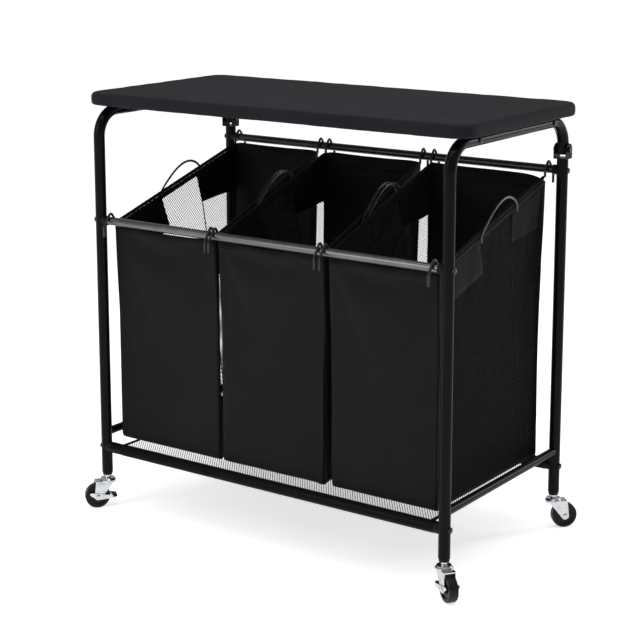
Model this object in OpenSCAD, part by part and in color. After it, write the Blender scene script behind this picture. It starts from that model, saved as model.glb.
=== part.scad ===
/* [Frame] */
// Distance between the leg axes across the width
leg_span_x = 796; // [700:1:900]
// Distance between the leg axes from front to back
leg_span_y = 416; // [380:1:460]
// Outer diameter of the legs and of the bent top tubes
tube_d = 22; // [20:0.5:25]
// Outer diameter of the hanging rods
rod_d = 16; // [14:0.5:18]
// Outer diameter of the lower rails
rail_d = 22; // [19:0.5:22]
// Outer diameter of the lower side bars
side_bar_d = 16; // [12:0.5:18]
// Wall of every steel tube
tube_wall = 1.2; // [1:0.1:1.6]
// Height of the legs' lower ends above the floor
leg_foot_z = 68; // [66:0.5:72]
// Height of the axes of the two lower rails
rail_z = 127; // [122:1:130]
// Height of the axes of the two side bars
side_bar_z = 157; // [150:1:170]
// Height of the axis of the front hanging rod
front_rod_z = 594; // [560:1:620]
// Height of the axis of the rear hanging rod
rear_rod_z = 712; // [690:1:715]
// Height at which the bent top tubes meet the front legs
joint_z = 738; // [735:1:741]

/* [Board] */
// Width of the padded board
board_w = 868; // [840:1:900]
// Depth of the padded board
board_d = 424; // [400:1:460]
// Thickness of the padded board with its cover
board_t = 25; // [22:0.5:32]
// Radius of the board's upright corners
board_corner_r = 37; // [25:1:60]
// Height of the underside of the board
board_z = 820; // [815:1:830]

/* [Bags] */
// Where the two front hooks of each bag have been slid to along the front rod
bag_front_x = [[-374, -122], [-114, 129], [140, 371]];
// Where the two rear hooks of each bag have been slid to along the rear rod
bag_rear_x = [[-376, -158], [-139, 92], [115, 370]];
// Depth of a bag from its front panel to its rear panel
bag_d = 390; // [380:1:392]
// Height of the bottom of the bags
bag_z = 146; // [144:1:170]
// Thickness of the fabric, hems included
cloth_t = 2; // [1.5:0.1:3]
// Diameter of the hook wires
wire_d = 5; // [4:0.1:5.4]
// Length of the straight tail of a hook
hook_tail = 29; // [20:1:40]
// Length of the opening under each carry handle
handle_span = 115; // [90:1:130]
// Height of each carry handle above the bag's edge
handle_rise = 30; // [20:1:40]

/* [Casters] */
// Wheel diameter
wheel_d = 50; // [48:0.5:52]
// Wheel width
wheel_w = 18; // [16:0.5:20]
// Offset of the axle from the swivel axis
trail = 22; // [20:0.5:24]
// Direction in which each caster trails: front left, front right, rear right, rear left
caster_turn = [232, -35, 45, 128];

/* [Hidden] */
CORNERS = ["front_left", "front_right", "rear_right", "rear_left"];
FRAME_NODES = [
    "front_hanging_rod", "rear_hanging_rod", "front_lower_rail", "rear_lower_rail",
    "left_side_bar", "right_side_bar", "rod_end_plugs", "frame_bolts",
    "front_leg_plugs", "left_hinge_bracket", "right_hinge_bracket", "hinge_bolts",
    "caster_sockets", "caster_stems", "mesh_shelf"
];
BOARD_NODES = [
    "left_top_tube", "right_top_tube", "board_panel", "board_pad", "board_cover",
    "board_brackets", "board_bolts", "board_screws"
];
$fn = 48;

leg_x = leg_span_x / 2;
leg_y = leg_span_y / 2;
tube_r = tube_d / 2;
rod_r = rod_d / 2;
LEG_AT = [[-leg_x, -leg_y], [leg_x, -leg_y], [leg_x, leg_y], [-leg_x, leg_y]];

// Joint between the bent top tubes and the legs
body_gap = 0.4;
bend_r = 50;
top_tube_z = board_z - tube_r - 0.2;
bend_z = top_tube_z - bend_r;
hinge_z = joint_z + 14;
rear_leg_top = joint_z - 3.5;
bracket_base_t = 2;
ear_t = 2;
ear_in = tube_r + 0.6;
hinge_pin_d = 6;
pin_bore_d = 6.1;
spigot_d = 16;
spigot_h = 20;
stub_below_pin = 9;

// Rods and rails
plug_flange_t = 7;
plug_depth = 22;
bolt_d = 5;
bolt_bore_d = 5.4;
bolt_head_d = 11;
bolt_head_h = 4;
rod_len = leg_span_x - tube_d - 2 * plug_flange_t;

// Board
cover_t = 1;
cover_rim = 34;
panel_t = 8;
bracket_y = [-125, 150];
bracket_w = 28;
bracket_t = 1.5;
flange_w = 25;

// Shelf
shelf_half_x = 365;
shelf_mid_x = 13;
sleeve_wall = 1.2;

// Bags
bag_y = bag_d / 2;
wire_y = bag_y - 1;
hook_half = leg_y - wire_y;
tail_half = 20;
hook_rest = rod_r + wire_d / 2 + 0.3;
knee_r = 7;
peak_r = 5;
hook_slope = 52;
wire_front_z = front_rod_z - 7;
wire_rear_z = rear_rod_z - 14;
edge_drop = wire_d / 2 + 0.6;
slope_rise = (wire_rear_z - wire_front_z) / (2 * wire_y);

// Casters
socket_cone_h = 6;
socket_depth = 36;
stem_d = 8;
stem_collar_d = 12;
cap_z = 58;
cap_d = 32;
crown_z = 53.5;
crown_t = 4;
crown_d = 33;
fork_t = 1.8;
fork_in = wheel_w / 2 + 1.2;
axle_d = 6;
axle_bore_d = 6.12;
axle_z = wheel_d / 2;
lever_in = fork_in + fork_t + 0.4;
lever_t = 1.5;
lever_reach = 31;

module x_cylinder(d, len) {
    rotate([0, 90, 0]) cylinder(d = d, h = len, center = true);
}

module tube_x(d, len) {
    difference() {
        x_cylinder(d, len);
        x_cylinder(d - 2 * tube_wall, len + 2);
    }
}

function rod_height(corner, row) =
    row == 0 ? rail_z : (corner < 2 ? front_rod_z : rear_rod_z);

// ---- Frame ----

module leg(i) {
    foot = leg_foot_z + socket_cone_h;
    top = i < 2 ? joint_z : rear_leg_top;
    color([0.09, 0.09, 0.1]) translate([LEG_AT[i][0], LEG_AT[i][1], 0]) difference() {
        translate([0, 0, foot]) cylinder(d = tube_d, h = top - foot);
        translate([0, 0, foot - 1]) cylinder(d = tube_d - 2 * tube_wall, h = top);
        for (row = [0, 1]) translate([0, 0, rod_height(i, row)])
            x_cylinder(bolt_bore_d, tube_d + 2);
    }
}

module cross_rod(y, z, d) {
    color([0.1, 0.1, 0.11]) translate([0, y, z]) tube_x(d, rod_len);
}

module side_bar(side) {
    color([0.1, 0.1, 0.11]) translate([side * leg_x, 0, side_bar_z]) difference() {
        rotate([90, 0, 0]) difference() {
            cylinder(d = side_bar_d, h = leg_span_y, center = true);
            cylinder(d = side_bar_d - 2 * tube_wall, h = leg_span_y + 2, center = true);
        }
        for (s = [-1, 1]) translate([0, s * leg_y, 0])
            cylinder(d = tube_d + 0.04, h = tube_d * 2, center = true);
    }
}

// Saddle flange against the leg with a plug inside the rod, drilled for its bolt
module rod_end_plug(d) {
    difference() {
        union() {
            rotate([0, 90, 0])
                cylinder(d = min(d + 3, tube_d - 0.4), h = tube_r + plug_flange_t - 0.05);
            translate([tube_r + plug_flange_t - 0.1, 0, 0]) rotate([0, 90, 0])
                cylinder(d = d - 2 * tube_wall - 0.1, h = plug_depth);
        }
        cylinder(d = tube_d + 0.04, h = tube_d * 2, center = true);
        x_cylinder(bolt_d + 0.06, 4 * plug_depth);
    }
}

module each_rod_end(row) {
    for (i = [0:3]) translate([LEG_AT[i][0], LEG_AT[i][1], rod_height(i, row)])
        rotate([0, 0, LEG_AT[i][0] > 0 ? 180 : 0]) children();
}

module rod_end_plugs() {
    color([0.06, 0.06, 0.06]) {
        each_rod_end(0) rod_end_plug(rail_d);
        each_rod_end(1) rod_end_plug(rod_d);
    }
}

module frame_bolt() {
    translate([-tube_r - 0.1, 0, 0]) rotate([0, 90, 0])
        cylinder(d = bolt_d, h = tube_d + plug_flange_t + 16);
    translate([-tube_r - 0.1, 0, 0]) rotate([0, -90, 0]) intersection() {
        cylinder(d = bolt_head_d, h = bolt_head_h);
        translate([0, 0, bolt_head_h - bolt_head_d]) sphere(r = bolt_head_d);
    }
}

module frame_bolts() {
    color([0.12, 0.12, 0.13]) for (row = [0, 1]) each_rod_end(row) frame_bolt();
}

// Plastic plug in the top of each front leg: a shoulder that the top tube lands on
module front_leg_plugs() {
    color([0.05, 0.05, 0.05]) for (i = [0, 1])
        translate([LEG_AT[i][0], LEG_AT[i][1], joint_z]) {
            translate([0, 0, -18]) cylinder(d = tube_d - 2 * tube_wall - 0.1, h = 18.1);
            translate([0, 0, 0.02]) cylinder(d = tube_d, h = 2);
            translate([0, 0, 2]) cylinder(d = spigot_d, h = spigot_h - 6);
            translate([0, 0, spigot_h - 4]) cylinder(d1 = spigot_d, d2 = spigot_d - 7, h = 6);
        }
}

// Clevis on a rear leg: spigot, base plate and two drilled ears
module hinge_bracket(i) {
    ear_h = hinge_z + 9 - rear_leg_top;
    color([0.08, 0.08, 0.09]) translate([LEG_AT[i][0], LEG_AT[i][1], rear_leg_top]) difference() {
        union() {
            translate([0, 0, -20]) cylinder(d = tube_d - 2 * tube_wall - 0.1, h = 20.2);
            translate([0, 0, bracket_base_t / 2 + 0.03])
                cube([2 * (ear_in + ear_t), 24, bracket_base_t], center = true);
            for (s = [-1, 1]) translate([s * (ear_in + ear_t / 2), 0, 0]) {
                translate([0, 0, (ear_h - 9) / 2 + 0.03])
                    cube([ear_t, 24, ear_h - 9], center = true);
                translate([0, 0, ear_h - 9]) rotate([0, 90, 0])
                    cylinder(r = 12, h = ear_t, center = true);
            }
        }
        translate([0, 0, hinge_z - rear_leg_top]) x_cylinder(pin_bore_d, 60);
    }
}

module hinge_bolts() {
    grip = ear_in + ear_t;
    color([0.55, 0.55, 0.57]) for (i = [2, 3])
        translate([LEG_AT[i][0], LEG_AT[i][1], hinge_z]) rotate([0, 0, i == 3 ? 180 : 0]) {
            rotate([0, 90, 0]) cylinder(d = hinge_pin_d, h = 2 * grip + 6, center = true);
            translate([grip + 0.05, 0, 0]) rotate([0, 90, 0]) cylinder(d = 11, h = 3.5);
            translate([-grip - 4.55, 0, 0]) rotate([0, 90, 0]) cylinder(d = 10, h = 4.5, $fn = 6);
        }
}

// Plastic foot of each leg with the bore that grips the caster stem
module caster_sockets() {
    color([0.05, 0.05, 0.05]) for (p = LEG_AT) translate([p[0], p[1], leg_foot_z]) difference() {
        union() {
            cylinder(r1 = 8.5, r2 = tube_r, h = socket_cone_h - 0.05, $fn = 64);
            cylinder(d = tube_d - 2 * tube_wall - 0.1, h = socket_depth);
        }
        translate([0, 0, -1]) cylinder(d = stem_d + 0.06, h = socket_depth - 3);
    }
}

// Friction stem, its collar and the upper raceway cap
module caster_stems() {
    color([0.8, 0.8, 0.82]) for (p = LEG_AT) translate([p[0], p[1], 0]) {
        translate([0, 0, cap_z]) cylinder(d = stem_d, h = leg_foot_z - cap_z + socket_depth - 8);
        translate([0, 0, cap_z]) cylinder(d = stem_collar_d, h = leg_foot_z - cap_z - 0.05);
        translate([0, 0, cap_z]) cylinder(d1 = cap_d, d2 = cap_d - 5, h = 3, $fn = 64);
    }
}

// Mesh sheet stretched between the rails, with a sewn sleeve round each
module mesh_shelf() {
    color([0.15, 0.15, 0.16]) {
        for (s = [-1, 1]) translate([shelf_mid_x, s * leg_y, rail_z]) difference() {
            x_cylinder(rail_d + 0.2 + 2 * sleeve_wall, 2 * shelf_half_x);
            x_cylinder(rail_d + 0.2, 2 * shelf_half_x + 2);
        }
        translate([shelf_mid_x, 0, rail_z + rail_d / 2 + 0.1 + sleeve_wall / 2])
            cube([2 * shelf_half_x, leg_span_y, sleeve_wall], center = true);
    }
}

// ---- Board ----

// Inverted U of round section: an upright at the front, a bend, a level run, a bend, an upright
module top_tube_shape(d, front_z, rear_z) {
    for (s = [-1, 1]) {
        foot = s < 0 ? front_z : rear_z;
        translate([0, s * leg_y, foot]) cylinder(d = d, h = bend_z - foot);
        translate([0, s * (leg_y - bend_r), bend_z]) rotate([0, -90, 0]) rotate([0, 0, s < 0 ? -90 : 0])
            rotate_extrude(angle = 90) translate([bend_r, 0]) circle(d = d);
    }
    translate([0, 0, top_tube_z]) rotate([90, 0, 0])
        cylinder(d = d, h = leg_span_y - 2 * bend_r, center = true);
}

module top_tube(side) {
    front_foot = joint_z + 2 + body_gap;
    rear_foot = hinge_z - stub_below_pin;
    color([0.09, 0.09, 0.1]) translate([side * leg_x, 0, 0]) difference() {
        top_tube_shape(tube_d, front_foot, rear_foot);
        top_tube_shape(tube_d - 2 * tube_wall, front_foot - 1, rear_foot - 1);
        translate([0, leg_y, hinge_z]) x_cylinder(pin_bore_d, tube_d + 2);
        for (y = bracket_y) translate([0, y, top_tube_z]) x_cylinder(bolt_bore_d, tube_d + 2);
    }
}

module rounded_plate(w, d, r, h) {
    linear_extrude(h) {
        square([w - 2 * r, d], center = true);
        square([w, d - 2 * r], center = true);
        for (x = [-1, 1]) for (y = [-1, 1])
            translate([x * (w / 2 - r), y * (d / 2 - r)]) circle(r);
    }
}

module board_layer(inset, z, h) {
    translate([0, 0, z])
        rounded_plate(board_w - 2 * inset, board_d - 2 * inset, board_corner_r - inset, h);
}

module board_panel() {
    color([0.62, 0.5, 0.36]) board_layer(cover_t + 5, board_z + cover_t + 0.1, panel_t);
}

module board_pad() {
    low = board_z + cover_t + panel_t + 0.2;
    color([0.75, 0.75, 0.72])
        board_layer(cover_t + 8, low, board_z + board_t - cover_t - 1.5 - low);
}

module board_cover() {
    color([0.22, 0.22, 0.24]) difference() {
        board_layer(0, board_z, board_t);
        board_layer(cover_t, board_z + cover_t, board_t - 2 * cover_t);
        board_layer(cover_rim, board_z - 1, cover_t + 2);
    }
}

// L brackets between the top tubes and the board's panel
module board_brackets() {
    flange_top = board_z + cover_t + 0.05;
    drop = flange_top - top_tube_z + 8;
    color([0.1, 0.1, 0.11]) for (s = [-1, 1]) for (y = bracket_y)
        translate([s * (leg_x - tube_r - 0.05), y, flange_top]) rotate([0, 0, s > 0 ? 180 : 0])
            difference() {
                union() {
                    translate([0, -bracket_w / 2, -bracket_t]) cube([flange_w, bracket_w, bracket_t]);
                    translate([0, -bracket_w / 2, -drop]) cube([bracket_t, bracket_w, drop]);
                }
                translate([0, 0, top_tube_z - flange_top]) x_cylinder(bolt_bore_d, 20);
                for (dy = [-8, 8]) translate([flange_w - 9, dy, -5]) cylinder(d = 4.4, h = 10);
            }
}

module board_bolts() {
    color([0.12, 0.12, 0.13]) for (s = [-1, 1]) for (y = bracket_y)
        translate([s * leg_x, y, top_tube_z]) rotate([0, 0, s > 0 ? 180 : 0]) {
            frame_bolt_short();
            translate([tube_r + bracket_t + 0.1, 0, 0]) rotate([0, 90, 0])
                cylinder(d = 9, h = 4, $fn = 6);
        }
}

module frame_bolt_short() {
    translate([-tube_r - 0.1, 0, 0]) rotate([0, 90, 0]) cylinder(d = bolt_d, h = tube_d + 7);
    translate([-tube_r - 0.1, 0, 0]) rotate([0, -90, 0]) intersection() {
        cylinder(d = bolt_head_d, h = bolt_head_h - 1);
        translate([0, 0, bolt_head_h - 1 - bolt_head_d]) sphere(r = bolt_head_d);
    }
}

module board_screws() {
    head_z = board_z + cover_t - bracket_t;
    color([0.7, 0.7, 0.72]) for (s = [-1, 1]) for (y = bracket_y) for (dy = [-8, 8])
        translate([s * (leg_x - tube_r - flange_w + 9), y + dy, head_z]) {
            translate([0, 0, -2]) cylinder(d = 8, h = 2);
            cylinder(d = 4, h = bracket_t + 0.1);
        }
}

// ---- Casters ----

// Places a child, drawn for a caster that trails along +X, at corner i
module at_caster(i) {
    translate([LEG_AT[i][0], LEG_AT[i][1], 0]) rotate([0, 0, caster_turn[i]]) children();
}

module fork_side() {
    rotate([90, 0, 0]) linear_extrude(fork_t, center = true) hull() {
        translate([trail, axle_z]) circle(r = 7.5);
        translate([-11, crown_z + 1]) square([37, 1]);
    }
}

module fork(i) {
    color([0.82, 0.83, 0.85]) at_caster(i) difference() {
        union() {
            translate([0, 0, crown_z]) cylinder(d = crown_d, h = crown_t);
            translate([-11, -fork_in - fork_t, crown_z])
                cube([37, 2 * (fork_in + fork_t), 2]);
            for (s = [-1, 1]) translate([0, s * (fork_in + fork_t / 2), 0]) fork_side();
        }
        translate([trail, 0, axle_z]) rotate([90, 0, 0])
            cylinder(d = axle_d + 0.06, h = 60, center = true);
    }
}

module axle(i) {
    braked = i < 2;
    half = (braked ? lever_in + lever_t : fork_in + fork_t) + 0.15;
    color([0.75, 0.75, 0.77]) at_caster(i) translate([trail, 0, axle_z]) rotate([90, 0, 0]) {
        cylinder(d = axle_d, h = 2 * half, center = true);
        for (s = [0, 1]) mirror([0, 0, s]) translate([0, 0, half]) intersection() {
            cylinder(d = 9.5, h = 2);
            translate([0, 0, -7.5]) sphere(r = 9.5);
        }
    }
}

module wheel(i) {
    r = wheel_d / 2;
    half = wheel_w / 2;
    color([0.07, 0.07, 0.07]) at_caster(i) translate([trail, 0, axle_z]) rotate([90, 0, 0])
        rotate_extrude($fn = 96) difference() {
            union() {
                translate([axle_bore_d / 2, -half]) square([6, wheel_w]);
                translate([axle_bore_d / 2, -half + 2.5]) square([r - 8, wheel_w - 5]);
                translate([r - 7, -half]) square([4, wheel_w]);
                translate([r - 5, -half + 3]) square([5, wheel_w - 6]);
                for (s = [-1, 1]) translate([r - 3, s * (half - 3)]) circle(r = 3);
            }
            translate([-1, -half - 1]) square([axle_bore_d / 2 + 1, wheel_w + 2]);
        }
}

// Stamped rocker: two side plates on the axle, joined by a bridge ahead of the wheel
module brake_lever(i) {
    bridge_in = wheel_d / 2 + 1.5;
    color([0.8, 0.8, 0.82]) at_caster(i) translate([trail, 0, axle_z]) difference() {
        union() {
            for (s = [-1, 1]) translate([0, s * (lever_in + lever_t / 2), 0]) rotate([90, 0, 0])
                linear_extrude(lever_t, center = true) hull() {
                    circle(r = 6.5);
                    translate([14, 6]) circle(r = 3);
                    translate([-bridge_in - 1, -2]) circle(r = 3);
                }
            translate([-bridge_in - 1.8, 0, -2])
                cube([1.6, 2 * (lever_in + lever_t), 6], center = true);
        }
        rotate([90, 0, 0]) cylinder(d = axle_d + 0.12, h = 60, center = true);
    }
}

module brake_pedal(i) {
    front = -lever_reach - 6;
    color([0.05, 0.05, 0.05]) at_caster(i) translate([trail, 0, axle_z])
        hull() {
            for (s = [-1, 1]) translate([front, s * 8, -2]) cylinder(r = 2, h = 4, center = true, $fn = 32);
            translate([-lever_reach + 0.85, 0, -2]) cube([1.8, 22, 6], center = true);
        }
}

// ---- Bags ----

// A bag's footprint, drawn in by gap from each side panel
module bag_plan(i, gap) {
    f = bag_front_x[i];
    r = bag_rear_x[i];
    polygon([
        [f[0] + gap, -bag_y], [f[1] - gap, -bag_y],
        [r[1] - gap, bag_y], [r[0] + gap, bag_y]
    ]);
}

// Height of a bag's top edge at a given depth
function edge_z(y) = wire_front_z + slope_rise * (y + wire_y) - edge_drop;

// Front panel, bottom and rear panel, cut from one length of cloth
module bag_body(i) {
    color([0.11, 0.11, 0.11]) intersection() {
        translate([0, 0, bag_z]) linear_extrude(rear_rod_z) bag_plan(i, cloth_t + 0.1);
        rotate([90, 0, 90]) linear_extrude(2 * leg_x, center = true) polygon([
            [-bag_y, edge_z(-bag_y)], [-bag_y, bag_z + 14], [-bag_y + 14, bag_z],
            [bag_y - 14, bag_z], [bag_y, bag_z + 14], [bag_y, edge_z(bag_y)],
            [bag_y - cloth_t, edge_z(bag_y)], [bag_y - cloth_t, bag_z + 15],
            [bag_y - 15, bag_z + cloth_t], [-bag_y + 15, bag_z + cloth_t],
            [-bag_y + cloth_t, bag_z + 15], [-bag_y + cloth_t, edge_z(-bag_y)]
        ]);
    }
}

module bag_sides(i) {
    color([0.3, 0.3, 0.31]) intersection() {
        difference() {
            translate([0, 0, bag_z]) linear_extrude(rear_rod_z) bag_plan(i, 0);
            translate([0, 0, bag_z - 1]) linear_extrude(rear_rod_z + 2) bag_plan(i, cloth_t);
        }
        rotate([90, 0, 90]) linear_extrude(2 * leg_x, center = true) polygon([
            [-bag_y, edge_z(-bag_y)], [-bag_y, bag_z + 14], [-bag_y + 14, bag_z],
            [bag_y - 14, bag_z], [bag_y, bag_z + 14], [bag_y, edge_z(bag_y)]
        ]);
    }
}

// Draws its child in the plane of one side panel: +X runs from front to rear, +Y is up
module in_side_plane(i, side) {
    inset = (side == 0 ? 1 : -1) * cloth_t / 2;
    front = [bag_front_x[i][side] + inset, -wire_y];
    rear = [bag_rear_x[i][side] + inset, wire_y];
    turn = atan2(rear[1] - front[1], rear[0] - front[0]);
    translate([front[0], front[1], 0]) rotate([0, 0, turn]) rotate([90, 0, 0]) children();
}

function side_length(i, side) =
    norm([bag_rear_x[i][side] - bag_front_x[i][side], 2 * wire_y]);

// Straight wire from one point of the side plane to another, run on into the bends at its ends
module wire_run(p, q) {
    translate(p) rotate([0, 0, atan2(q[1] - p[1], q[0] - p[0])]) rotate([0, 90, 0])
        translate([0, 0, -0.3]) cylinder(d = wire_d, h = norm(q - p) + 0.6);
}

// Bend about a centre in the side plane, from one direction angle to another
module wire_bend(c, r, from, to) {
    translate(c) rotate([0, 0, from]) rotate_extrude(angle = to - from)
        translate([r, 0]) circle(d = wire_d + 0.06);
}

// Peaked hook on a rod at the origin: two slopes rest on it, a straight tail hangs; +X is outward
module hook(leg_z) {
    rise = cos(hook_slope);
    peak_z = (hook_rest - peak_r) / rise;
    for (s = [-1, 1]) {
        half = s < 0 ? hook_half : tail_half;
        out = [s * sin(hook_slope), rise];
        knee_x = half - knee_r;
        knee = [s * knee_x, (hook_rest - knee_r - knee_x * sin(hook_slope)) / rise];
        wire_run([s * half, s < 0 ? leg_z : -hook_tail], [s * half, knee[1]]);
        wire_bend(knee, knee_r, s < 0 ? 90 + hook_slope : 0, s < 0 ? 180 : 90 - hook_slope);
        wire_run(knee + knee_r * out, [0, peak_z] + peak_r * out);
    }
    wire_bend([0, peak_z], peak_r, 90 - hook_slope, 90 + hook_slope);
}

module hook_wire(i, side) {
    len = side_length(i, side);
    rise = wire_rear_z - wire_front_z;
    in_side_plane(i, side) {
        translate([-hook_half, front_rod_z]) mirror([1, 0]) hook(wire_front_z - front_rod_z);
        translate([len + hook_half, rear_rod_z]) hook(wire_rear_z - rear_rod_z);
        translate([0, wire_front_z + 2]) rotate([0, 0, atan2(rise, len)]) rotate([0, 90, 0])
            cylinder(d = wire_d - 0.6, h = norm([len, rise]));
    }
}

module bag_hook_wires(i) {
    color([0.14, 0.14, 0.15]) for (side = [0, 1]) hook_wire(i, side);
}

// Webbing loop on the outside of a side panel, over the middle of its top edge
module handle(i, side) {
    len = side_length(i, side);
    arc_r = (pow(handle_span / 2, 2) + pow(handle_rise, 2)) / (2 * handle_rise);
    half_angle = asin(handle_span / 2 / arc_r);
    mid = len / 2 + 8;
    out = (side == 0 ? -1 : 1) * (wire_d / 2 + 1.8);
    tilt = atan2(wire_rear_z - wire_front_z, len);
    in_side_plane(i, side)
        translate([mid, wire_front_z + mid * tan(tilt), out]) rotate([0, 0, tilt])
            translate([0, handle_rise - arc_r, 0]) rotate([0, 0, 90 - half_angle])
                rotate_extrude(angle = 2 * half_angle) translate([arc_r, 0])
                    square([6, 3], center = true);
}

module bag_handles(i) {
    color([0.1, 0.1, 0.1]) for (side = [0, 1]) handle(i, side);
}

for (i = [0:3]) leg(i);
cross_rod(-leg_y, front_rod_z, rod_d);  // front_hanging_rod
cross_rod(leg_y, rear_rod_z, rod_d);  // rear_hanging_rod
cross_rod(-leg_y, rail_z, rail_d);  // front_lower_rail
cross_rod(leg_y, rail_z, rail_d);  // rear_lower_rail
side_bar(-1);  // left_side_bar
side_bar(1);  // right_side_bar
rod_end_plugs();
frame_bolts();
front_leg_plugs();
hinge_bracket(3);  // left_hinge_bracket
hinge_bracket(2);  // right_hinge_bracket
hinge_bolts();
caster_sockets();
caster_stems();
mesh_shelf();
top_tube(-1);  // left_top_tube
top_tube(1);  // right_top_tube
board_panel();
board_pad();
board_cover();
board_brackets();
board_bolts();
board_screws();
for (i = [0:3]) fork(i);
for (i = [0:3]) axle(i);
for (i = [0:3]) wheel(i);
for (i = [0:1]) brake_lever(i);
for (i = [0:1]) brake_pedal(i);
for (i = [0:2]) bag_body(i);
for (i = [0:2]) bag_sides(i);
for (i = [0:2]) bag_hook_wires(i);
for (i = [0:2]) bag_handles(i);
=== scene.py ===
import math

import bpy
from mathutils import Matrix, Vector


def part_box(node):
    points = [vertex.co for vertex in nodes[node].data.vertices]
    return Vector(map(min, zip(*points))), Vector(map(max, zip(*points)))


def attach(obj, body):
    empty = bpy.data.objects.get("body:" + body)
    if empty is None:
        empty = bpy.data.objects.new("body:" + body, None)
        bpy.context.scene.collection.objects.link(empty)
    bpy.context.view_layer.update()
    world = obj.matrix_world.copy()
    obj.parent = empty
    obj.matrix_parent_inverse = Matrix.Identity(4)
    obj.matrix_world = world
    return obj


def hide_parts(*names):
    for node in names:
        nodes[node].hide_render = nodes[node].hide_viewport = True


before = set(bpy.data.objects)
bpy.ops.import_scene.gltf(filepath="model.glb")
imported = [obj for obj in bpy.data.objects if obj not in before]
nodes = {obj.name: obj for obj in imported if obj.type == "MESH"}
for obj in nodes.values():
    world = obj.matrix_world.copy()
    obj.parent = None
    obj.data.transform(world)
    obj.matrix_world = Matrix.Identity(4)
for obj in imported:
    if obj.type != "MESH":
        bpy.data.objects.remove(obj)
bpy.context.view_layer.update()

# ---------------------------------------------------------------------------
# Studio
# A wide white floor under soft light: one broad light overhead, one from the
# front left and a narrow one from behind on the right, with a white surround.
# ---------------------------------------------------------------------------

def start_clean():
    if bpy.context.object and bpy.context.object.mode != "OBJECT":
        bpy.ops.object.mode_set(mode="OBJECT")
    bpy.ops.object.select_all(action="DESELECT")


def pick(*pieces):
    start_clean()
    for piece in pieces:
        piece.select_set(True)
    bpy.context.view_layer.objects.active = pieces[0]


def surface(name, colour, roughness, metallic=0.0):
    material = bpy.data.materials.new(name)
    material.use_nodes = True
    shader = material.node_tree.nodes["Principled BSDF"]
    shader.inputs["Base Color"].default_value = (*colour, 1)
    shader.inputs["Roughness"].default_value = roughness
    shader.inputs["Metallic"].default_value = metallic
    return material, material.node_tree, shader


start_clean()
bpy.ops.mesh.primitive_plane_add(size=120, location=(0, 0, 0))
floor = bpy.context.object
floor.name = "studio_floor"
floor_paint, _, floor_shader = surface("studio_floor_paint", (0.93, 0.93, 0.93), 0.9)
floor_shader.inputs["Emission Color"].default_value = (1, 1, 1, 1)
floor_shader.inputs["Emission Strength"].default_value = 0.62
floor.data.materials.append(floor_paint)

surround = bpy.data.worlds.new("studio_surround")
surround.use_nodes = True
surround.node_tree.nodes["Background"].inputs["Color"].default_value = (1, 1, 1, 1)
surround.node_tree.nodes["Background"].inputs["Strength"].default_value = 0.42
bpy.context.scene.world = surround
bpy.context.scene.view_settings.view_transform = "Standard"


def soft_light(name, place, aim, size, watts):
    bpy.ops.object.light_add(type="AREA", location=place)
    light = bpy.context.object
    light.name = name
    light.data.shape = "RECTANGLE"
    light.data.size, light.data.size_y = size
    light.data.energy = watts
    light.rotation_euler = (Vector(aim) - Vector(place)).to_track_quat("-Z", "Y").to_euler()


soft_light("overhead_light", (0.2, -0.6, 3.4), (0, 0, 0.4), (3.0, 2.0), 60)
soft_light("front_light", (-1.6, -3.4, 1.9), (0, 0, 0.5), (1.6, 2.2), 34)
soft_light("side_light", (1.9, 2.6, 1.5), (0.2, 0, 0.5), (0.5, 2.0), 22)

camera_turn, camera_tilt, camera_reach = math.radians(35.12), math.radians(11.04), 3.279
camera_aim = Vector((-0.0164, 0, 0.5948))
camera_back = Vector((math.sin(camera_turn) * math.cos(camera_tilt),
                      -math.cos(camera_turn) * math.cos(camera_tilt),
                      math.sin(camera_tilt)))
bpy.ops.object.camera_add(location=camera_aim + camera_back * camera_reach)
camera = bpy.context.object
camera.rotation_euler = (-camera_back).to_track_quat("-Z", "Y").to_euler()
camera.data.sensor_width = 36
camera.data.lens = 94.8
camera.data.shift_y = -0.15
camera.data.clip_end = 200
bpy.context.scene.camera = camera

# ---------------------------------------------------------------------------
# Steel frame
# Tubes cut, drilled and bent, then powder-coated black: a satin coat with a
# faint orange peel, and a little duller where hands and cloth have rubbed it.
# ---------------------------------------------------------------------------

def effect_group(name, inputs, outputs):
    group = bpy.data.node_groups.new(name, "ShaderNodeTree")
    for label, kind, value in inputs:
        socket = group.interface.new_socket(name=label, in_out="INPUT", socket_type=kind)
        if value is not None:
            socket.default_value = value
    for label, kind in outputs:
        group.interface.new_socket(name=label, in_out="OUTPUT", socket_type=kind)
    return group, group.nodes.new("NodeGroupInput"), group.nodes.new("NodeGroupOutput")


def math_node(tree, operation, a, b=None, c=None):
    node = tree.nodes.new("ShaderNodeMath")
    node.operation = operation
    for socket, value in zip(node.inputs, (a, b, c)):
        if value is None:
            continue
        if isinstance(value, (int, float)):
            socket.default_value = value
        else:
            tree.links.new(value, socket)
    return node.outputs[0]


def noise_node(tree, vector, scale, detail=2.0, rough=0.5):
    node = tree.nodes.new("ShaderNodeTexNoise")
    tree.links.new(vector, node.inputs["Vector"])
    if isinstance(scale, (int, float)):
        node.inputs["Scale"].default_value = scale
    else:
        tree.links.new(scale, node.inputs["Scale"])
    node.inputs["Detail"].default_value = detail
    node.inputs["Roughness"].default_value = rough
    return node.outputs["Fac"]


def range_node(tree, value, low, high, to_low, to_high):
    node = tree.nodes.new("ShaderNodeMapRange")
    node.interpolation_type = "SMOOTHSTEP"
    tree.links.new(value, node.inputs["Value"])
    for label, number in (("From Min", low), ("From Max", high), ("To Min", to_low), ("To Max", to_high)):
        if isinstance(number, (int, float)):
            node.inputs[label].default_value = number
        else:
            tree.links.new(number, node.inputs[label])
    return node.outputs["Result"]


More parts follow.
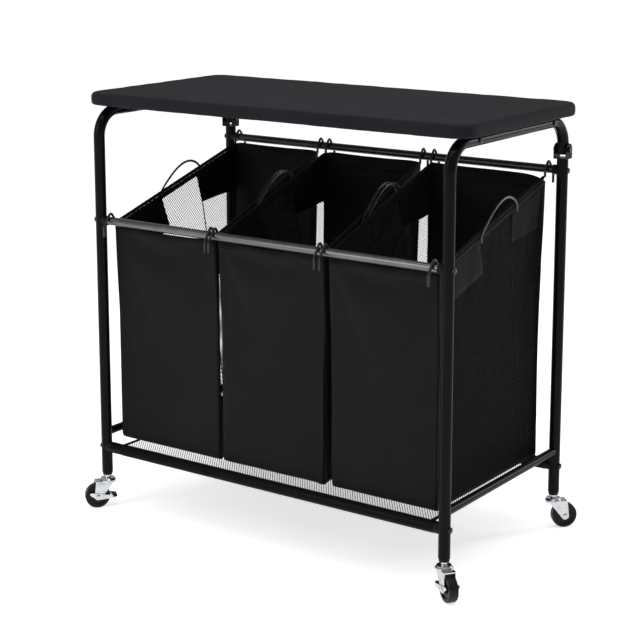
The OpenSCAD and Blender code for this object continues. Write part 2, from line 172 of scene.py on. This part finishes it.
grain_group, g_in, g_out = effect_group(
    "Fine grain and rubbing",
    [("Vector", "NodeSocketVector", None), ("Grain Scale", "NodeSocketFloat", 1800.0),
     ("Rub Scale", "NodeSocketFloat", 14.0), ("Rub Amount", "NodeSocketFloat", 0.5)],
    [("Height", "NodeSocketFloat"), ("Rubbed", "NodeSocketFloat")])
fine = noise_node(grain_group, g_in.outputs["Vector"], g_in.outputs["Grain Scale"], 3)
broad = noise_node(grain_group, g_in.outputs["Vector"], g_in.outputs["Rub Scale"], 5, 0.65)
patches = range_node(grain_group, broad, 0.46, 0.72, 0.0, 1.0)
grain_group.links.new(fine, g_out.inputs["Height"])
grain_group.links.new(math_node(grain_group, "MULTIPLY", patches, g_in.outputs["Rub Amount"]),
                      g_out.inputs["Rubbed"])


def object_place(tree):
    return tree.nodes.new("ShaderNodeTexCoord").outputs["Object"]


def blend_colours(tree, mask, base, other):
    node = tree.nodes.new("ShaderNodeMix")
    node.data_type = "RGBA"
    tree.links.new(mask, node.inputs["Factor"])
    node.inputs["A"].default_value = (*base, 1)
    node.inputs["B"].default_value = (*other, 1)
    return node.outputs["Result"]


def bump_from(tree, shader, height, depth, strength=1.0):
    bump = tree.nodes.new("ShaderNodeBump")
    bump.inputs["Distance"].default_value = depth
    bump.inputs["Strength"].default_value = strength
    tree.links.new(height, bump.inputs["Height"])
    tree.links.new(bump.outputs["Normal"], shader.inputs["Normal"])


def coated_surface(name, colour, rubbed_colour, rough, rubbed_rough, grain, depth,
                   metallic=0.0, rub_scale=14.0, amount=0.8):
    material, tree, shader = surface(name, colour, rough, metallic)
    effect = tree.nodes.new("ShaderNodeGroup")
    effect.node_tree = grain_group
    effect.inputs["Grain Scale"].default_value = grain
    effect.inputs["Rub Scale"].default_value = rub_scale
    effect.inputs["Rub Amount"].default_value = amount
    tree.links.new(object_place(tree), effect.inputs["Vector"])
    tree.links.new(blend_colours(tree, effect.outputs["Rubbed"], colour, rubbed_colour),
                   shader.inputs["Base Color"])
    tree.links.new(range_node(tree, effect.outputs["Rubbed"], 0, 1, rough, rubbed_rough),
                   shader.inputs["Roughness"])
    bump_from(tree, shader, effect.outputs["Height"], depth)
    return material, tree, shader


def finish_nodes(material, *names):
    for name in names:
        for place in nodes[name].material_slots:
            place.material = material


powder_coat, _, powder_shader = coated_surface(
    "black_powder_coat", (0.0030, 0.0028, 0.0030), (0.0050, 0.0046, 0.0044), 0.20, 0.30, 900, 0.00003)
powder_shader.inputs["Specular IOR Level"].default_value = 0.07
corners = ["front_left", "front_right", "rear_right", "rear_left"]
finish_nodes(powder_coat, *[corner + "_leg" for corner in corners],
             "left_side_bar", "right_side_bar", "left_top_tube", "right_top_tube",
             "front_lower_rail", "rear_lower_rail",
             "left_hinge_bracket", "right_hinge_bracket", "board_brackets")

# ---------------------------------------------------------------------------
# Hanging rods and hook wires
# Drawn steel rod with a smooth, thin black lacquer. Both rods carry the same lacquer;
# the front rod gets a lighter, metallic grey copy of it as a painted highlight.
# ---------------------------------------------------------------------------

# Lighter grey metallic copy of the black rod lacquer, front rod only: a painted highlight.
lit_front_rod_lacquer, _, _ = coated_surface(
    "front_rod_painted_highlight", (0.12, 0.117, 0.114), (0.17, 0.166, 0.162), 0.22, 0.28, 1400, 0.00001,
    metallic=0.9, rub_scale=9.0, amount=1.0)
finish_nodes(lit_front_rod_lacquer, "front_hanging_rod")
wire_lacquer, _, _ = coated_surface(
    "wire_lacquer", (0.012, 0.0115, 0.0115), (0.030, 0.028, 0.027), 0.24, 0.34, 1400, 0.00002,
    metallic=0.35, rub_scale=60.0)
finish_nodes(wire_lacquer, "rear_hanging_rod", "bag_1_hook_wires", "bag_2_hook_wires", "bag_3_hook_wires")

# ---------------------------------------------------------------------------
# Moulded fittings and screws
# Rod saddles, leg plugs, caster feet and brake pedals are moulded in black
# plastic with a fine spark-eroded grain; the screws are black-oxide steel.
# ---------------------------------------------------------------------------

moulded_black, _, moulded_shader = coated_surface(
    "moulded_black_plastic", (0.0045, 0.0045, 0.0045), (0.0080, 0.0080, 0.0080), 0.48, 0.58, 2600, 0.00004)
moulded_shader.inputs["Specular IOR Level"].default_value = 0.10
finish_nodes(moulded_black, "rod_end_plugs", "front_leg_plugs", "caster_sockets",
             "front_left_brake_pedal", "front_right_brake_pedal")
oxide_black, _, _ = coated_surface(
    "black_oxide_steel", (0.022, 0.022, 0.023), (0.05, 0.048, 0.046), 0.34, 0.42, 2200, 0.00002,
    metallic=0.7, rub_scale=120.0)
finish_nodes(oxide_black, "frame_bolts", "board_bolts", "hinge_bolts")

# ---------------------------------------------------------------------------
# Casters
# Forks, stems, rivets and brake levers are pressed sheet steel with a bright
# zinc plating, faintly cloudy; the wheels are moulded in a dense dark polymer
# that has picked up a little floor dust on the tread.
# ---------------------------------------------------------------------------

bright_zinc, _, _ = coated_surface(
    "bright_zinc", (0.56, 0.57, 0.59), (0.36, 0.375, 0.40), 0.16, 0.32, 1500, 0.000025,
    metallic=1.0, rub_scale=90.0, amount=0.9)
finish_nodes(bright_zinc, *[corner + part for corner in corners for part in ("_fork", "_axle")],
             "caster_stems", "board_screws",
             "front_left_brake_lever", "front_right_brake_lever")

wheel_polymer, _, wheel_shader = coated_surface(
    "wheel_polymer", (0.0055, 0.0055, 0.0058), (0.0120, 0.0120, 0.0125), 0.36, 0.55, 1600, 0.00005,
    rub_scale=55.0)
wheel_shader.inputs["Specular IOR Level"].default_value = 0.16
finish_nodes(wheel_polymer, *[corner + "_wheel" for corner in corners])

# ---------------------------------------------------------------------------
# Woven cloth, used by the board and the bags
# Tight plain weave: two sets of threads that pass over and under each other,
# with some threads a shade lighter and a loose, uneven surface.
# ---------------------------------------------------------------------------

weave_group, w_in, w_out = effect_group(
    "Plain weave",
    [("U", "NodeSocketFloat", 0.0), ("V", "NodeSocketFloat", 0.0), ("Vector", "NodeSocketVector", None),
     ("Threads per Metre", "NodeSocketFloat", 1400.0)],
    [("Height", "NodeSocketFloat"), ("Shade", "NodeSocketFloat")])


def thread_wave(along, turn):
    count = math_node(weave_group, "MULTIPLY", along, w_in.outputs["Threads per Metre"])
    angle = math_node(weave_group, "MULTIPLY_ADD", count, math.pi, turn)
    return math_node(weave_group, "SINE", angle)


warp = math_node(weave_group, "ABSOLUTE", thread_wave(w_in.outputs["U"], 0.0))
weft = math_node(weave_group, "ABSOLUTE", thread_wave(w_in.outputs["V"], 0.0))
over = math_node(weave_group, "MULTIPLY", thread_wave(w_in.outputs["U"], 0.4),
                 thread_wave(w_in.outputs["V"], 0.4))
over_mask = range_node(weave_group, over, -0.3, 0.3, 0.0, 1.0)
warp_part = math_node(weave_group, "MULTIPLY", warp, over_mask)
weft_part = math_node(weave_group, "MULTIPLY", weft, math_node(weave_group, "SUBTRACT", 1.0, over_mask))
threads = math_node(weave_group, "ADD", warp_part, weft_part)
slub = noise_node(weave_group, w_in.outputs["Vector"], 160.0, 4, 0.6)
weave_group.links.new(math_node(weave_group, "MULTIPLY_ADD", slub, 0.6, threads), w_out.inputs["Height"])
cloudy = noise_node(weave_group, w_in.outputs["Vector"], 9.0, 4, 0.6)
weave_group.links.new(math_node(weave_group, "MULTIPLY_ADD", slub, 0.5, math_node(
    weave_group, "MULTIPLY", cloudy, 0.5)), w_out.inputs["Shade"])


def cloth_surface(name, colour, light_colour, rough, per_metre, depth, flat_way="upright"):
    material, tree, shader = surface(name, colour, rough)
    place = object_place(tree)
    split = tree.nodes.new("ShaderNodeSeparateXYZ")
    tree.links.new(place, split.inputs[0])
    effect = tree.nodes.new("ShaderNodeGroup")
    effect.node_tree = weave_group
    effect.inputs["Threads per Metre"].default_value = per_metre
    tree.links.new(place, effect.inputs["Vector"])
    if flat_way == "upright":
        tree.links.new(math_node(tree, "ADD", split.outputs["X"], split.outputs["Y"]), effect.inputs["U"])
        tree.links.new(math_node(tree, "ADD", split.outputs["Z"], math_node(
            tree, "MULTIPLY", split.outputs["Y"], 0.35)), effect.inputs["V"])
    else:
        tree.links.new(split.outputs["X"], effect.inputs["U"])
        tree.links.new(math_node(tree, "ADD", split.outputs["Y"], split.outputs["Z"]), effect.inputs["V"])
    shade = range_node(tree, effect.outputs["Shade"], 0.32, 0.68, 0.0, 1.0)
    tree.links.new(blend_colours(tree, shade, colour, light_colour), shader.inputs["Base Color"])
    shader.inputs["Sheen Weight"].default_value = 0.015
    shader.inputs["Sheen Roughness"].default_value = 0.5
    shader.inputs["Specular IOR Level"].default_value = 0.08
    bump_from(tree, shader, effect.outputs["Height"], depth)
    return material, tree, shader


# ---------------------------------------------------------------------------
# Padded board
# A fibre panel with thin foam under a black cotton cover. The cover is drawn
# tight over the rounded edge and gathered under the board on an elastic, so
# the middle of the panel's underside stays bare.
# ---------------------------------------------------------------------------

board_low, board_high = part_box("board_cover")
start_clean()
bpy.ops.mesh.primitive_cube_add(size=1, location=(board_low + board_high) / 2, scale=board_high - board_low)
board_cover = bpy.context.object
board_cover.name = "board_cover_cloth"
bpy.ops.object.transform_apply(location=True, rotation=True, scale=True)


def clear_choice(piece):
    pick(piece)
    for part in (piece.data.vertices, piece.data.edges, piece.data.polygons):
        for item in part:
            item.select = False


def choose_edges(piece, wanted):
    clear_choice(piece)
    for edge in piece.data.edges:
        ends = [piece.data.vertices[i] for i in edge.vertices]
        if wanted(ends[0].co, ends[1].co):
            edge.select = ends[0].select = ends[1].select = True


def choose_faces(piece, wanted):
    clear_choice(piece)
    for face in piece.data.polygons:
        face.select = wanted(face)


def edit(mode="FACE"):
    bpy.context.tool_settings.mesh_select_mode = (mode == "VERT", mode == "EDGE", mode == "FACE")
    bpy.ops.object.mode_set(mode="EDIT")


def finish_edit():
    bpy.ops.object.mode_set(mode="OBJECT")


def add_and_apply(piece, kind, **settings):
    pick(piece)
    modifier = piece.modifiers.new(kind.title(), kind)
    for label, value in settings.items():
        setattr(modifier, label, value)
    bpy.ops.object.modifier_apply(modifier=modifier.name)


def crumple(name, size, depth=2):
    texture = bpy.data.textures.new(name, "CLOUDS")
    texture.noise_scale = size
    texture.noise_depth = depth
    return texture


board_corner_radius, board_top_round, board_bottom_round = 0.037, 0.0085, 0.005
choose_edges(board_cover, lambda a, b: abs(a.z - b.z) > 0.01)
edit("EDGE")
bpy.ops.mesh.bevel(offset=board_corner_radius, segments=10, affect="EDGES")
finish_edit()
choose_edges(board_cover, lambda a, b: min(a.z, b.z) > board_high.z - 0.001)
edit("EDGE")
bpy.ops.mesh.bevel(offset=board_top_round, segments=6, affect="EDGES")
finish_edit()
choose_edges(board_cover, lambda a, b: max(a.z, b.z) < board_low.z + 0.001)
edit("EDGE")
bpy.ops.mesh.bevel(offset=board_bottom_round, segments=4, affect="EDGES")
finish_edit()
pick(board_cover)
board_cover.data.remesh_voxel_size = 0.005
bpy.ops.object.voxel_remesh()
add_and_apply(board_cover, "SMOOTH", factor=0.5, iterations=3)
add_and_apply(board_cover, "DISPLACE", texture=crumple("cover_puckers", 0.045),
              strength=0.0016, mid_level=0.5)
board_rim, bare_corner = 0.032, 0.02


def rounded_distance(x, y, half_x, half_y, radius):
    dx, dy = abs(x) - half_x + radius, abs(y) - half_y + radius
    return math.hypot(max(dx, 0), max(dy, 0)) + min(max(dx, dy), 0) - radius


bare_x, bare_y = board_high.x - board_rim, board_high.y - board_rim
choose_faces(board_cover, lambda face: face.normal.z < -0.9 and face.center.z < board_low.z + 0.003
             and rounded_distance(face.center.x, face.center.y, bare_x, bare_y, bare_corner) < 0)
edit()
bpy.ops.mesh.delete(type="FACE")
finish_edit()
for vertex in board_cover.data.vertices:
    edge = rounded_distance(vertex.co.x, vertex.co.y, bare_x, bare_y, bare_corner)
    if vertex.co.z < board_low.z + 0.004 and edge < 0.012:
        vertex.co.z += 0.0008 * math.sin(vertex.co.x * 420) * math.cos(vertex.co.y * 380)
bpy.ops.object.shade_smooth()
board_cloth, _, _ = cloth_surface(
    "board_cover_cloth", (0.0085, 0.0076, 0.0108), (0.0130, 0.0120, 0.0160), 0.72, 1250, 0.00012, "laid")
board_cover.data.materials.append(board_cloth)
add_and_apply(board_cover, "SOLIDIFY", thickness=0.0007, offset=-1)
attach(board_cover, "board")
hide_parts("board_cover")

# The elastic in the cover's hem: a soft rolled edge, puckered all round, that
# lies against the bare panel under the board.
hem_radius = 0.0028
bpy.ops.object.select_all(action="DESELECT")
bpy.ops.curve.primitive_bezier_circle_add(radius=1, location=(0, 0, 0))
hem_path = bpy.context.object
points = []
for corner_x, corner_y, start in ((1, 1, 0), (-1, 1, 90), (-1, -1, 180), (1, -1, 270)):
    for step in range(7):
        angle = math.radians(start + 15 * step)
        points.append((corner_x * (bare_x - bare_corner) + bare_corner * math.cos(angle),
                       corner_y * (bare_y - bare_corner) + bare_corner * math.sin(angle)))
hem_path.data.splines.clear()
spline = hem_path.data.splines.new("POLY")
spline.points.add(len(points) - 1)
for point, (x, y) in zip(spline.points, points):
    point.co = (x, y, board_low.z + hem_radius + 0.0002, 1)
spline.use_cyclic_u = True
hem_path.data.bevel_depth = hem_radius
hem_path.data.bevel_resolution = 2
pick(hem_path)
bpy.ops.object.convert(target="MESH")
board_hem = bpy.context.object
board_hem.name = "board_cover_hem"
edit()
bpy.ops.mesh.select_all(action="SELECT")
bpy.ops.mesh.subdivide(number_cuts=5)
finish_edit()
for vertex in board_hem.data.vertices:
    on_long_side = abs(vertex.co.x) < bare_x - bare_corner
    along = vertex.co.y + vertex.co.x if on_long_side else vertex.co.y - vertex.co.x
    vertex.co.z = max(board_low.z + 0.0001, vertex.co.z + 0.0009 * math.sin(along * 700))
bpy.ops.object.shade_smooth()
board_hem.data.materials.append(board_cloth)
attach(board_hem, "board")

panel_fibre, _, _ = coated_surface(
    "pressed_fibre_panel", (0.30, 0.21, 0.13), (0.21, 0.145, 0.09), 0.78, 0.88, 700, 0.00015, rub_scale=60.0)
finish_nodes(panel_fibre, "board_panel")
foam, _, _ = coated_surface(
    "open_cell_foam", (0.72, 0.70, 0.62), (0.60, 0.57, 0.48), 0.9, 0.95, 500, 0.0004, rub_scale=30.0)
finish_nodes(foam, "board_pad")

# ---------------------------------------------------------------------------
# Netting
# Black warp-knitted polyester net with small diamond holes, one every five to
# six millimetres, so the net is see-through against light.
# ---------------------------------------------------------------------------

net_group, n_in, n_out = effect_group(
    "Diamond net",
    [("Along", "NodeSocketFloat", 0.0), ("Up", "NodeSocketFloat", 0.0),
     ("Holes per Metre", "NodeSocketFloat", 185.0), ("Hole Size", "NodeSocketFloat", 0.44)],
    [("Thread", "NodeSocketFloat"), ("Height", "NodeSocketFloat")])


def cell_distance(sign):
    lean = math_node(net_group, "MULTIPLY", n_in.outputs["Up"], 0.72 * sign)
    count = math_node(net_group, "MULTIPLY", math_node(net_group, "ADD", n_in.outputs["Along"], lean),
                      n_in.outputs["Holes per Metre"])
    return math_node(net_group, "ABSOLUTE", math_node(
        net_group, "SUBTRACT", math_node(net_group, "FRACT", count), 0.5))


one, other = cell_distance(1), cell_distance(-1)
spread = math_node(net_group, "SQRT", math_node(
    net_group, "ADD", math_node(net_group, "POWER", one, 2.0), math_node(net_group, "POWER", other, 2.0)))
inner = math_node(net_group, "SUBTRACT", n_in.outputs["Hole Size"], 0.03)
outer = math_node(net_group, "ADD", n_in.outputs["Hole Size"], 0.03)
net_group.links.new(range_node(net_group, spread, inner, outer, 0.0, 1.0), n_out.inputs["Thread"])
net_group.links.new(range_node(net_group, spread, inner, 0.7, 0.0, 1.0), n_out.inputs["Height"])


def net_surface(name, along, up, hole):
    material, tree, shader = surface(name, (0.006, 0.006, 0.006), 0.6)
    split = tree.nodes.new("ShaderNodeSeparateXYZ")
    place = object_place(tree)
    tree.links.new(place, split.inputs[0])
    effect = tree.nodes.new("ShaderNodeGroup")
    effect.node_tree = net_group
    effect.inputs["Hole Size"].default_value = hole
    tree.links.new(split.outputs[along], effect.inputs["Along"])
    tree.links.new(split.outputs[up], effect.inputs["Up"])
    tree.links.new(effect.outputs["Thread"], shader.inputs["Alpha"])
    shader.inputs["Specular IOR Level"].default_value = 0.06
    twist = noise_node(tree, place, 900.0, 3)
    tree.links.new(blend_colours(tree, twist, (0.0035, 0.0035, 0.0042), (0.0090, 0.0090, 0.0105)),
                   shader.inputs["Base Color"])
    bump_from(tree, shader, effect.outputs["Height"], 0.0003)
    return material


# ---------------------------------------------------------------------------
# Hanging bags
# Each bag is one length of black polyester cloth (front, bottom and back) with
# two net sides. Cloth patches, bound edges and hems stiffen the rim, and the
# sides' top edges are sewn round the hook wires.
# ---------------------------------------------------------------------------

bag_front_x = [(-0.374, -0.122), (-0.114, 0.129), (0.140, 0.371)]
bag_rear_x = [(-0.376, -0.158), (-0.139, 0.092), (0.115, 0.370)]
bag_half_depth, bag_floor = 0.194, 0.1450
bag_wire_gap, bag_fold_radius, most_cloth_move = 0.001, 0.010, 0.007
hem_depth, binding_depth, front_seam_width, rear_seam_width = 0.020, 0.009, 0.022, 0.008
edge_front_z, edge_rear_z = 0.5839, 0.6949
edge_slope = (edge_rear_z - edge_front_z) / (2 * bag_half_depth)
bag_cuts = 36
bag_cloth, _, _ = cloth_surface(
    "bag_cloth", (0.0050, 0.0050, 0.0050), (0.0078, 0.0078, 0.0076), 0.62, 1100, 0.00012)
# The trims and wire channels use a darker copy of the bag cloth: painted shade on the bags' net sides.
shaded_trim_cloth, _, _ = cloth_surface(
    "shaded_trim_cloth", (0.0016, 0.0016, 0.0019), (0.0030, 0.0030, 0.0034), 0.7, 1100, 0.00012)
side_net = net_surface("side_net", "Y", "Z", 0.41)


def rim_height(y):
    return edge_front_z + (y + bag_half_depth) * edge_slope


def bag_place(number, across, back, up):
    (f0, f1), (r0, r1) = bag_front_x[number], bag_rear_x[number]
    back = 0.5 * back + 0.25 * (1 - math.cos(math.pi * back))
    left = f0 + (r0 - f0) * back + bag_wire_gap
    right = f1 + (r1 - f1) * back - bag_wire_gap
    y = (2 * back - 1) * bag_half_depth
    corner_drop = 0.014 * across ** 12 if number == 2 else 0.004 * abs(2 * across - 1) ** 12
    rear_lift = max(0, 20 * back - 19) * (0.009 - corner_drop)
    z = bag_floor + up ** 1.3 * (rim_height(y) + rear_lift - bag_floor)
    inward_y, inward_z, radius = bag_half_depth - abs(y), z - bag_floor, bag_fold_radius
    if inward_y < radius and inward_z < radius:
        dy, dz = radius - inward_y, radius - inward_z
        reach = max(dy, dz)
        far = math.hypot(dy, dz)
        if far > radius or reach > 0.999 * radius:
            dy, dz = dy * radius / far, dz * radius / far
        y = math.copysign(bag_half_depth - radius + dy, y)
        z = bag_floor + radius - dz
    return Vector((left + (right - left) * across, y, z))


def hang_cloth(piece, frames, slack):
    pins = piece.vertex_groups.new(name="wire_channel")
    rest = [vertex.co.copy() for vertex in piece.data.vertices]
    held = hold_points[piece.name]
    pins.add(held, 1.0, "REPLACE")
    pick(piece)
    cloth = piece.modifiers.new("Cloth", "CLOTH")
    cloth.settings.quality = 7
    cloth.settings.mass = 0.12
    cloth.settings.tension_stiffness = 30
    cloth.settings.compression_stiffness = 30
    cloth.settings.shear_stiffness = 12
    cloth.settings.bending_stiffness = 0.6
    cloth.settings.air_damping = 4
    cloth.settings.shrink_min = -slack
    cloth.settings.vertex_group_mass = "wire_channel"
    cloth.point_cache.frame_start, cloth.point_cache.frame_end = 1, frames
    for moment in range(1, frames + 1):
        bpy.context.scene.frame_set(moment)
    bpy.ops.object.modifier_apply(modifier="Cloth")
    bpy.context.scene.frame_set(1)
    for vertex, start in zip(piece.data.vertices, rest):
        move = vertex.co - start
        if move.length > most_cloth_move:
            vertex.co = start + move * most_cloth_move / move.length


def cut_away(source, name, cuts):
    pick(source)
    bpy.ops.object.duplicate()
    part = bpy.context.object
    part.name = name
    part.data.materials.clear()
    part.data.materials.append(bag_cloth)
    for point, normal, keep in cuts:
        clear_choice(part)
        edit("VERT")
        bpy.ops.mesh.select_all(action="SELECT")
        bpy.ops.mesh.bisect(plane_co=point, plane_no=normal,
                            clear_inner=keep == "beyond", clear_outer=keep == "before")
        finish_edit()
    return part


def join_all(parts, name):
    pick(*parts)
    bpy.ops.object.join()
    joined = bpy.context.object
    joined.name = name
    return joined


hold_points = {}
slope_angle = math.atan(edge_slope)
along_slope = (0, -math.sin(slope_angle), math.cos(slope_angle))
for number in range(3):
    body = f"bag_{number + 1}"
    start_clean()
    bpy.ops.mesh.primitive_cube_add(size=1, location=(0.5, 0.5, 0.5))
    shell = bpy.context.object
    shell.name = body + "_cloth"
    bpy.ops.object.transform_apply(location=True, rotation=True, scale=True)
    choose_faces(shell, lambda face: face.normal.z > 0.9)
    edit()
    bpy.ops.mesh.delete(type="FACE")
    bpy.ops.mesh.select_all(action="SELECT")
    bpy.ops.mesh.subdivide(number_cuts=bag_cuts)
    finish_edit()
    side_faces = {face.index for face in shell.data.polygons if abs(face.normal.x) > 0.9}
    left_faces = {face.index for face in shell.data.polygons if face.normal.x < -0.9}
    hold_points[shell.name] = [v.index for v in shell.data.vertices
                               if v.co.z > 0.999 and (v.co.x < 0.001 or v.co.x > 0.999)]
    for vertex in shell.data.vertices:
        vertex.co = bag_place(number, *vertex.co)
    hang_cloth(shell, 22, 0.004)

    for side, chosen in (("left", left_faces), ("right", side_faces - left_faces)):
        pick(shell)
        bpy.ops.object.duplicate()
        net = bpy.context.object
        net.name = f"{body}_{side}_net"
        choose_faces(net, lambda face: face.index not in chosen)
        edit()
        bpy.ops.mesh.delete(type="FACE")
        finish_edit()
        net.vertex_groups.clear()
        net.data.materials.append(side_net)
        bpy.ops.object.shade_smooth()
        trims = [
            cut_away(net, "front_patch", [((0, -0.0426, 0.548), along_slope, "beyond"),
                                          ((0, -0.0448, 0.593), (0, 0.95, 0.315), "before")]),
            cut_away(net, "rear_patch", [((0, 0.0722, 0.591), (0, -0.11, 0.994), "beyond"),
                                         ((0, 0.0658, 0.623), (0, 0.98, 0.196), "beyond")]),
            cut_away(net, "net_join", [((0, 0.0722, 0.591), (0, 0.989, 0.147), "beyond"),
                                       ((0, 0.0744, 0.591), (0, 0.989, 0.147), "before"),
                                       ((0, 0, 0.594), (0, 0, 1), "before")]),
            cut_away(net, "rim_binding", [((0, -bag_half_depth, edge_front_z - binding_depth),
                                           along_slope, "beyond")]),
            cut_away(net, "front_seam", [((0, front_seam_width - bag_half_depth, 0), (0, 1, 0), "before")]),
            cut_away(net, "rear_seam", [((0, bag_half_depth - rear_seam_width, 0), (0, 1, 0), "beyond")]),
            cut_away(net, "bottom_seam", [((0, 0, bag_floor + binding_depth), (0, 0, 1), "before")]),
        ]
        for thickness, trim in zip((0.0016, 0.0016, 0.0012, 0.0026, 0.0020, 0.0020, 0.0020), trims):
            add_and_apply(trim, "SOLIDIFY", thickness=thickness, offset=0)
        trim = join_all(trims, f"{body}_{side}_trim")
        # The trims take the darker copy of the bag cloth: painted shade.
        trim.data.materials.clear()
        trim.data.materials.append(shaded_trim_cloth)
        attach(net, body)
        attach(trim, body)
        if side == "left":
            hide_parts(body + "_sides")

    choose_faces(shell, lambda face: face.index in side_faces)
    edit()
    bpy.ops.mesh.delete(type="FACE")
    finish_edit()
    shell.vertex_groups.clear()
    shell.data.materials.append(bag_cloth)
    pick(shell)
    bpy.ops.object.shade_smooth()
    hems = [cut_away(shell, "front_hem", [((0, -0.15, 0), (0, 1, 0), "before"),
                                          ((0, 0, edge_front_z - hem_depth), (0, 0, 1), "beyond")]),
            cut_away(shell, "rear_hem", [((0, 0.15, 0), (0, 1, 0), "beyond"),
                                         ((0, 0, edge_rear_z - hem_depth), (0, 0, 1), "beyond")])]
    for hem in hems:
        add_and_apply(hem, "SOLIDIFY", thickness=0.0024, offset=0)
    hem = join_all(hems, body + "_hems")
    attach(hem, body)
    add_and_apply(shell, "SOLIDIFY", thickness=0.0009, offset=0)
    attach(shell, body)
    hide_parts(body + "_body")

# ---------------------------------------------------------------------------
# Handles and wire channels
# A narrow flat webbing loop is sewn outside each net side, its ends just
# below the rim. The rim itself is a narrow tube of cloth on the wire.
# ---------------------------------------------------------------------------

handle_webbing, _, _ = coated_surface(
    "handle_webbing", (0.018, 0.018, 0.019), (0.045, 0.045, 0.047), 0.26, 0.4, 1300, 0.00006, rub_scale=40.0)


def side_plane_x(number, side, y):
    edge = 0 if side == "left" else 1
    back = (y + bag_half_depth) / (2 * bag_half_depth)
    front, rear = bag_front_x[number][edge], bag_rear_x[number][edge]
    return front + (rear - front) * back + (bag_wire_gap if side == "left" else -bag_wire_gap)


def round_run(name, points, radius, sides):
    start_clean()
    bpy.ops.curve.primitive_bezier_curve_add(radius=1, location=(0, 0, 0))
    run = bpy.context.object
    run.data.splines.clear()
    spline = run.data.splines.new("POLY")
    spline.points.add(len(points) - 1)
    for point, place in zip(spline.points, points):
        point.co = (*place, 1)
    run.data.bevel_depth = radius
    run.data.bevel_resolution = sides
    run.data.use_fill_caps = True
    pick(run)
    bpy.ops.object.convert(target="MESH")
    made = bpy.context.object
    made.name = name
    bpy.ops.object.shade_smooth()
    return made


handle_front_y, handle_rear_y, handle_rise, tab_length = -0.053, 0.078, 0.033, 0.012
handle_offset, handle_half_width, handle_flatness = 0.0042, 0.0026, 0.5
channel_reach, channel_rise, channel_radius = 0.186, 0.0051, 0.0035
for number in range(3):
    body = f"bag_{number + 1}"
    for side, outward in (("left", -1), ("right", 1)):
        path = []
        for step in range(9):
            path.append((handle_front_y, rim_height(handle_front_y) - tab_length * (1 - step / 9)))
        for step in range(33):
            part = step / 32
            y = handle_front_y + (handle_rear_y - handle_front_y) * part
            bulge = math.sin(math.pi * part ** 1.25)
            y += 0.006 * math.sin(math.pi * part) * (part - 0.5)
            path.append((y, rim_height(y) + handle_rise * max(bulge, 0) ** 0.72))
        for step in range(1, 10):
            path.append((handle_rear_y, rim_height(handle_rear_y) - tab_length * step / 9))
        loop = round_run(f"{body}_{side}_handle",
                         [(side_plane_x(number, side, y) + outward * handle_offset, y, z) for y, z in path],
                         handle_half_width, 3)
        for vertex in loop.data.vertices:
            middle = side_plane_x(number, side, vertex.co.y) + outward * handle_offset
            vertex.co.x = middle + (vertex.co.x - middle) * handle_flatness
        loop.data.materials.append(handle_webbing)
        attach(loop, body)
        if side == "left":
            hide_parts(body + "_handles")
        channel_path = []
        for step in range(60):
            y = -channel_reach + 2 * channel_reach * step / 59
            channel_path.append((side_plane_x(number, side, y), y, rim_height(y) + channel_rise))
        channel = round_run(f"{body}_{side}_wire_channel", channel_path, channel_radius, 2)
        for vertex in channel.data.vertices:
            vertex.co.z -= 0.0005 * math.sin(vertex.co.y * 260 + number) ** 2
        # The wire channel takes the darker copy of the bag cloth: painted shade.
        channel.data.materials.append(shaded_trim_cloth)
        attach(channel, body)

# ---------------------------------------------------------------------------
# Mesh shelf
# A net sheet stretched between the two lower rails. Each long edge is a sleeve
# sewn round its rail, and the short edges are bound with cloth tape.
# ---------------------------------------------------------------------------

shelf_mid_x, shelf_half_x = 0.013, 0.365
rail_y, rail_z, sleeve_radius = 0.208, 0.127, 0.0117
shelf_sag, tape_width = 0.0045, 0.008
shelf_net = net_surface("shelf_net", "X", "Y", 0.42)
start_clean()
bpy.ops.mesh.primitive_grid_add(x_subdivisions=80, y_subdivisions=50, size=1,
                                location=(0, 0, rail_z + sleeve_radius))
shelf = bpy.context.object
shelf.name = "shelf_net_sheet"
shelf.scale = (2 * shelf_half_x, 2 * rail_y, 1)
bpy.ops.object.transform_apply(location=True, rotation=True, scale=True)
for vertex in shelf.data.vertices:
    x, y = vertex.co.x / shelf_half_x, vertex.co.y / rail_y
    vertex.co.z -= shelf_sag * (1 - x ** 4) * (1 - y ** 2) + 0.0006 * math.sin(x * 23) * (1 - y ** 2)
    vertex.co.x = shelf_mid_x + vertex.co.x * (1 - 0.010 * (1 - y ** 2))
shelf.data.materials.append(shelf_net)
bpy.ops.object.shade_smooth()
tapes = [cut_away(shelf, "left_tape",
                  [((shelf_mid_x - shelf_half_x + tape_width, 0, 0), (1, 0, 0), "before")]),
         cut_away(shelf, "right_tape",
                  [((shelf_mid_x + shelf_half_x - tape_width, 0, 0), (1, 0, 0), "beyond")])]
for tape in tapes:
    add_and_apply(tape, "SOLIDIFY", thickness=0.0018, offset=0)
shelf_tape = join_all(tapes, "shelf_end_tapes")
sleeves = []
for side in (-1, 1):
    start_clean()
    bpy.ops.mesh.primitive_cylinder_add(vertices=28, radius=sleeve_radius, depth=2 * shelf_half_x,
                                        end_fill_type="NOTHING", rotation=(0, math.pi / 2, 0),
                                        location=(shelf_mid_x, side * rail_y, rail_z))
    sleeve = bpy.context.object
    bpy.ops.object.transform_apply(location=True, rotation=True, scale=True)
    sleeve.data.materials.append(shelf_net)
    bpy.ops.object.shade_smooth()
    sleeves.append(sleeve)
shelf = join_all([shelf] + sleeves, "shelf_net_sheet")
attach(shelf, "frame")
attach(shelf_tape, "frame")
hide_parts("mesh_shelf")
